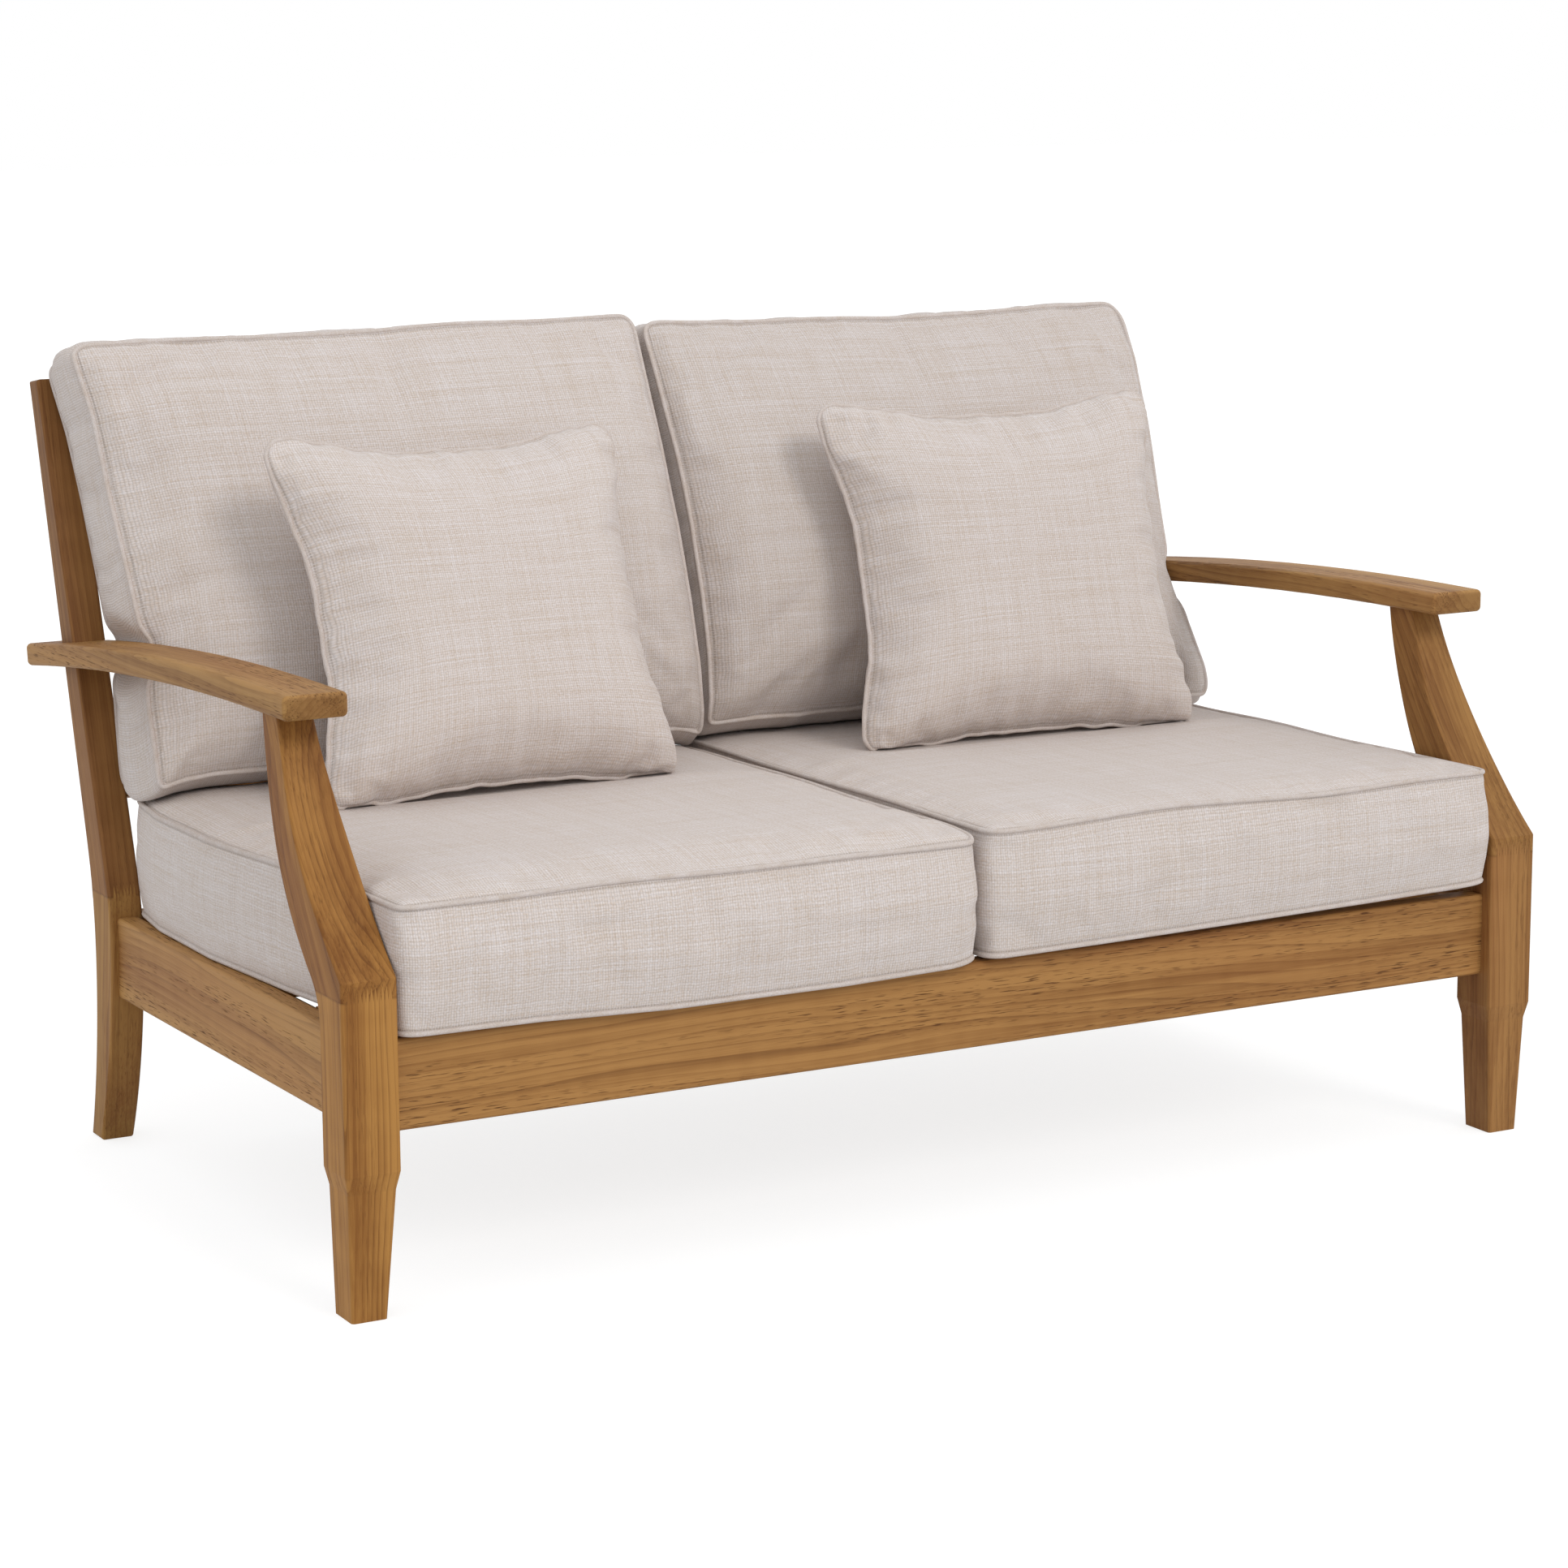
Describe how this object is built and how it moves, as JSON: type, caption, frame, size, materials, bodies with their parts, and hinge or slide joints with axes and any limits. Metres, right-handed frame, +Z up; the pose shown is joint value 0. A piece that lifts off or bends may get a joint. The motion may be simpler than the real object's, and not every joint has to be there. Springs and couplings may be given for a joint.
{
  "type": "patio loveseat",
  "caption": "Wooden patio loveseat with curved arms, splayed rear legs, loose box seat cushions, leaning back cushions and square throw pillows.",
  "frame": {"origin": "on the floor, under the middle of the part's box", "axes": "+X across the width to the right as seen from the front, +Y to the rear, +Z up"},
  "size_m": [1.5132, 0.9652, 0.941],
  "materials": {
    "teak": "oiled satin teak",
    "dowel_wood": "plain hardwood",
    "outdoor_cloth": "slubby off-white basket weave",
    "cushion_core": "open-cell foam",
    "pillow_insert": "polyester fibre",
    "steel_fixings": "stainless steel"
  },
  "bodies": {
    "root": {"arm_dowels": "dowel_wood", "arm_left": "teak", "arm_right": "teak", "arm_screws": "steel_fixings", "arm_support_left": "teak", "arm_support_right": "teak", "back_bottom_rail": "teak", "back_post_left": "teak", "back_post_right": "teak", "back_slat_1": "teak", "back_slat_10": "teak", "back_slat_11": "teak", "back_slat_2": "teak", "back_slat_3": "teak", "back_slat_4": "teak", "back_slat_5": "teak", "back_slat_6": "teak", "back_slat_7": "teak", "back_slat_8": "teak", "back_slat_9": "teak", "back_top_rail": "teak", "centre_bearer": "teak", "corner_bolts": "steel_fixings", "front_corner_block_left": "teak", "front_corner_block_right": "teak", "front_leg_left": "teak", "front_leg_right": "teak", "front_rail": "teak", "rear_corner_block_left": "teak", "rear_corner_block_right": "teak", "rear_leg_left": "teak", "rear_leg_right": "teak", "rear_rail": "teak", "seat_slat_1": "teak", "seat_slat_2": "teak", "seat_slat_3": "teak", "seat_slat_4": "teak", "side_rail_left": "teak", "side_rail_right": "teak", "slat_cleat_left": "teak", "slat_cleat_right": "teak", "slat_screws": "steel_fixings"},
    "seat_cushion_left": {"seat_cushion_cover_left": "outdoor_cloth", "seat_cushion_core_left": "cushion_core"},
    "back_cushion_left": {"back_cushion_cover_left": "outdoor_cloth", "back_cushion_core_left": "cushion_core"},
    "throw_pillow_left": {"throw_pillow_cover_left": "outdoor_cloth", "throw_pillow_insert_left": "pillow_insert"},
    "seat_cushion_right": {"seat_cushion_cover_right": "outdoor_cloth", "seat_cushion_core_right": "cushion_core"},
    "back_cushion_right": {"back_cushion_cover_right": "outdoor_cloth", "back_cushion_core_right": "cushion_core"},
    "throw_pillow_right": {"throw_pillow_cover_right": "outdoor_cloth", "throw_pillow_insert_right": "pillow_insert"}
  },
  "joints": [
    {"name": "seat_cushion_lift_left", "type": "slide", "parent": "root", "child": "seat_cushion_left", "axis": [0, 0, 1], "range_m": [0, 0.35]},
    {"name": "back_cushion_lift_left", "type": "slide", "parent": "seat_cushion_left", "child": "back_cushion_left", "axis": [0, 0, 1], "range_m": [0, 0.45]},
    {"name": "throw_pillow_lift_left", "type": "slide", "parent": "back_cushion_left", "child": "throw_pillow_left", "axis": [0, 0, 1], "range_m": [0, 0.45]},
    {"name": "seat_cushion_lift_right", "type": "slide", "parent": "root", "child": "seat_cushion_right", "axis": [0, 0, 1], "range_m": [0, 0.35]},
    {"name": "back_cushion_lift_right", "type": "slide", "parent": "seat_cushion_right", "child": "back_cushion_right", "axis": [0, 0, 1], "range_m": [0, 0.45]},
    {"name": "throw_pillow_lift_right", "type": "slide", "parent": "back_cushion_right", "child": "throw_pillow_right", "axis": [0, 0, 1], "range_m": [0, 0.45]}
  ]
}
